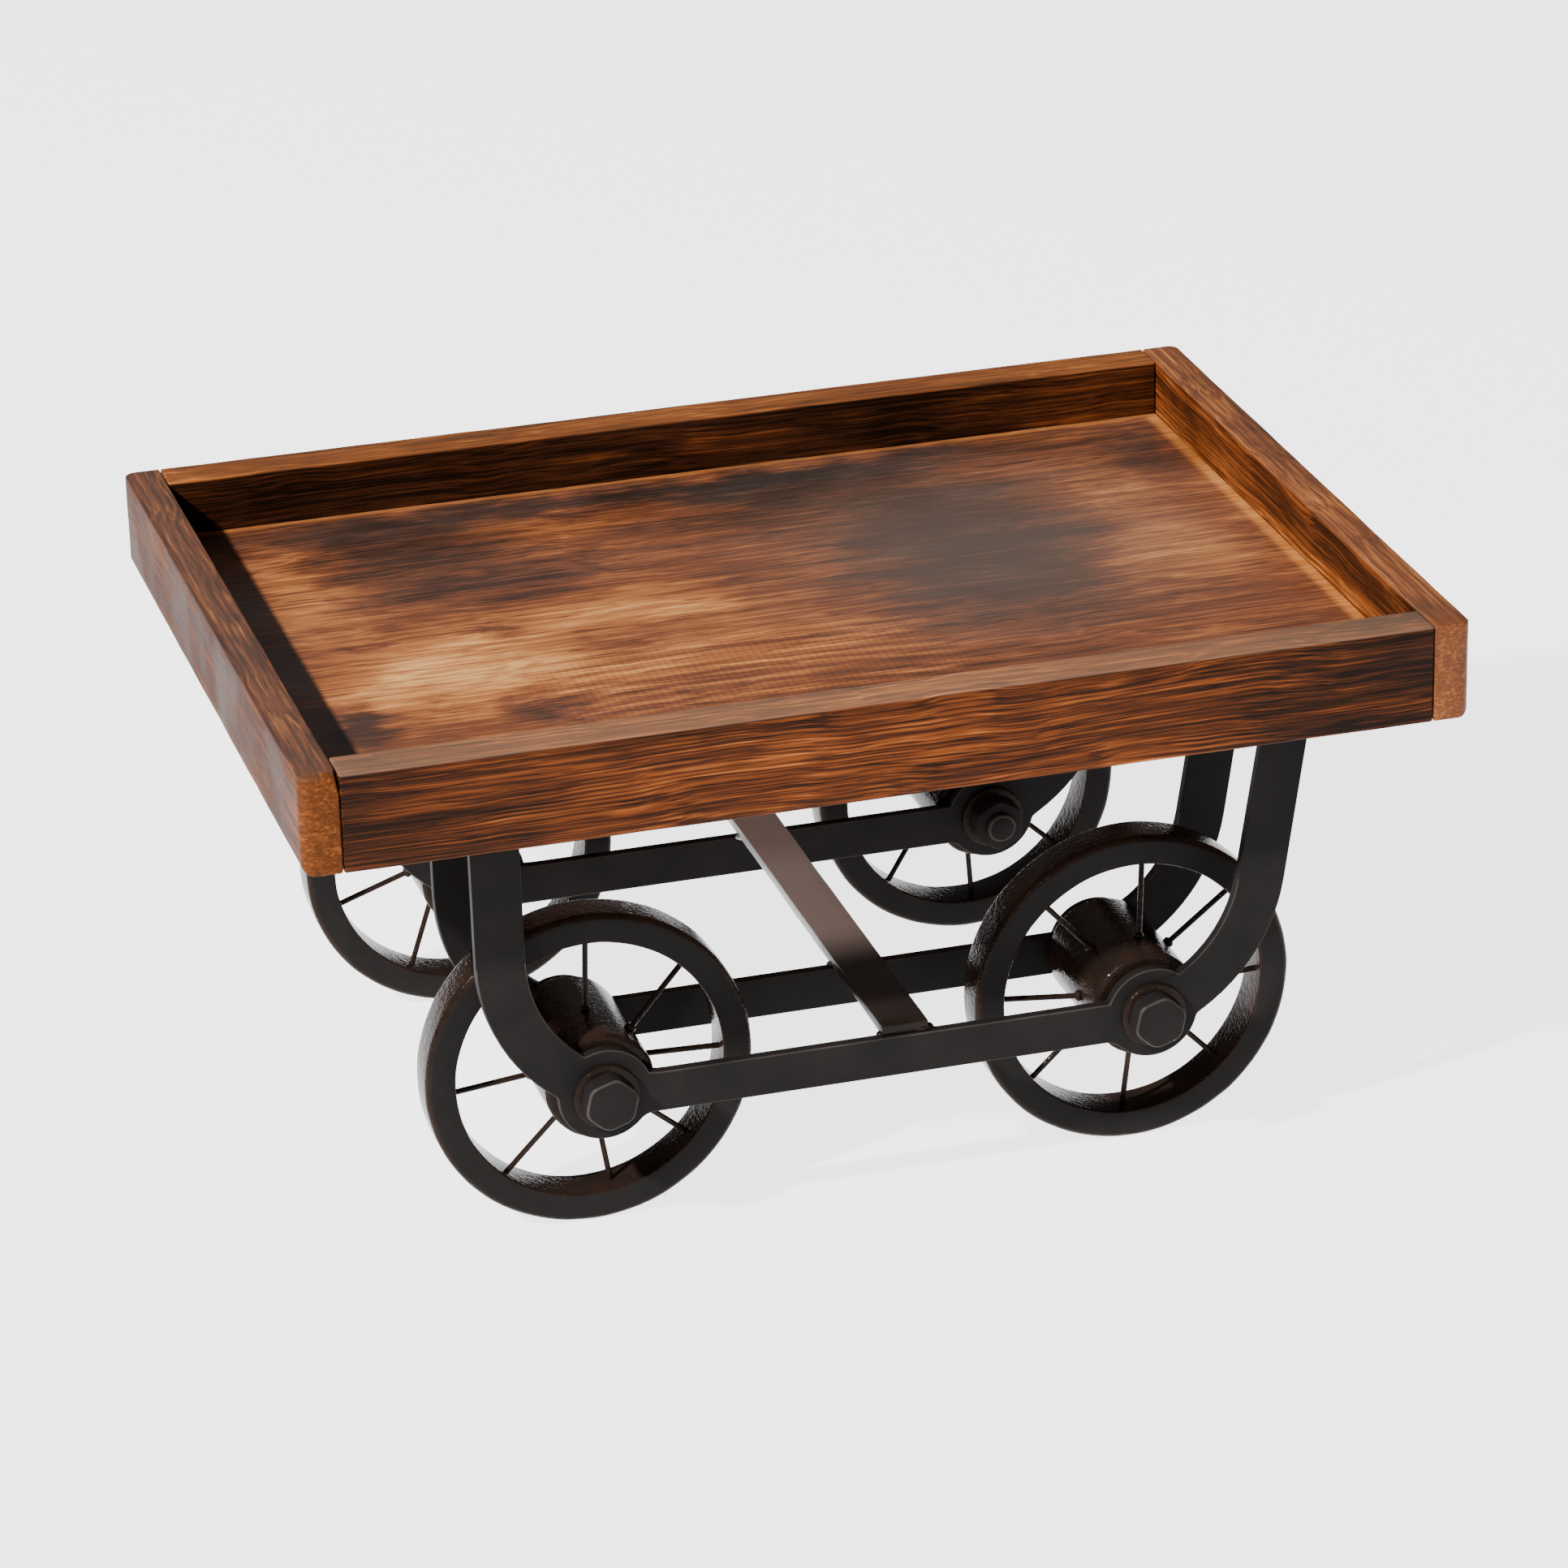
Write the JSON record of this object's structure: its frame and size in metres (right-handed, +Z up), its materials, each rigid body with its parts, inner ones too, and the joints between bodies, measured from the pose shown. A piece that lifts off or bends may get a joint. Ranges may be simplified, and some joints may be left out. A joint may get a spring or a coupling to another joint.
{
  "type": "cart-shaped serving tray",
  "caption": "Low-walled wooden serving tray on a hand-cart undercarriage of curved flat iron straps, with spoked wheels that turn on bolts.",
  "frame": {"origin": "on the ground, under the middle of the cart", "axes": "+X along the tray to the right, -Y the front, +Z up"},
  "size_m": [0.3, 0.22, 0.148],
  "materials": {
    "board_wood": "torched hardwood, satin lacquer",
    "floor_wood": "torched hardwood panel, satin lacquer",
    "brad_steel": "steel brads, stained over",
    "enamel_satin": "flat iron in satin black enamel",
    "enamel_gloss": "iron in thick gloss black enamel"
  },
  "bodies": {
    "cart": {"front_board": "board_wood", "back_board": "board_wood", "left_end_board": "board_wood", "right_end_board": "board_wood", "floor_panel": "floor_wood", "corner_brads": "brad_steel", "floor_brads": "brad_steel", "leg_screws": "enamel_satin", "front_outer_left_leg": "enamel_satin", "front_outer_right_leg": "enamel_satin", "front_outer_bar": "enamel_satin", "front_inner_left_leg": "enamel_satin", "front_inner_right_leg": "enamel_satin", "front_inner_bar": "enamel_satin", "rear_inner_left_leg": "enamel_satin", "rear_inner_right_leg": "enamel_satin", "rear_inner_bar": "enamel_satin", "rear_outer_left_leg": "enamel_satin", "rear_outer_right_leg": "enamel_satin", "rear_outer_bar": "enamel_satin", "cross_bar": "enamel_gloss", "front_left_axle_bolt": "enamel_satin", "front_left_washers": "enamel_satin", "front_left_nut": "enamel_satin", "front_right_axle_bolt": "enamel_satin", "front_right_washers": "enamel_satin", "front_right_nut": "enamel_satin", "rear_left_axle_bolt": "enamel_satin", "rear_left_washers": "enamel_satin", "rear_left_nut": "enamel_satin", "rear_right_axle_bolt": "enamel_satin", "rear_right_washers": "enamel_satin", "rear_right_nut": "enamel_satin"},
    "front_left_wheel": {"front_left_rim": "enamel_gloss", "front_left_spokes": "enamel_gloss", "front_left_hub": "enamel_gloss"},
    "front_right_wheel": {"front_right_rim": "enamel_gloss", "front_right_spokes": "enamel_gloss", "front_right_hub": "enamel_gloss"},
    "rear_left_wheel": {"rear_left_rim": "enamel_gloss", "rear_left_spokes": "enamel_gloss", "rear_left_hub": "enamel_gloss"},
    "rear_right_wheel": {"rear_right_rim": "enamel_gloss", "rear_right_spokes": "enamel_gloss", "rear_right_hub": "enamel_gloss"}
  },
  "joints": [
    {"name": "front_left_axle", "type": "hinge", "parent": "cart", "child": "front_left_wheel", "pos_m": [-0.0725, -0.0664, 0.0428], "axis": [0, 1, 0], "continuous": true},
    {"name": "front_right_axle", "type": "hinge", "parent": "cart", "child": "front_right_wheel", "pos_m": [0.0725, -0.0664, 0.0428], "axis": [0, 1, 0], "continuous": true},
    {"name": "rear_left_axle", "type": "hinge", "parent": "cart", "child": "rear_left_wheel", "pos_m": [-0.0725, 0.0664, 0.0428], "axis": [0, 1, 0], "continuous": true},
    {"name": "rear_right_axle", "type": "hinge", "parent": "cart", "child": "rear_right_wheel", "pos_m": [0.0725, 0.0664, 0.0428], "axis": [0, 1, 0], "continuous": true}
  ]
}
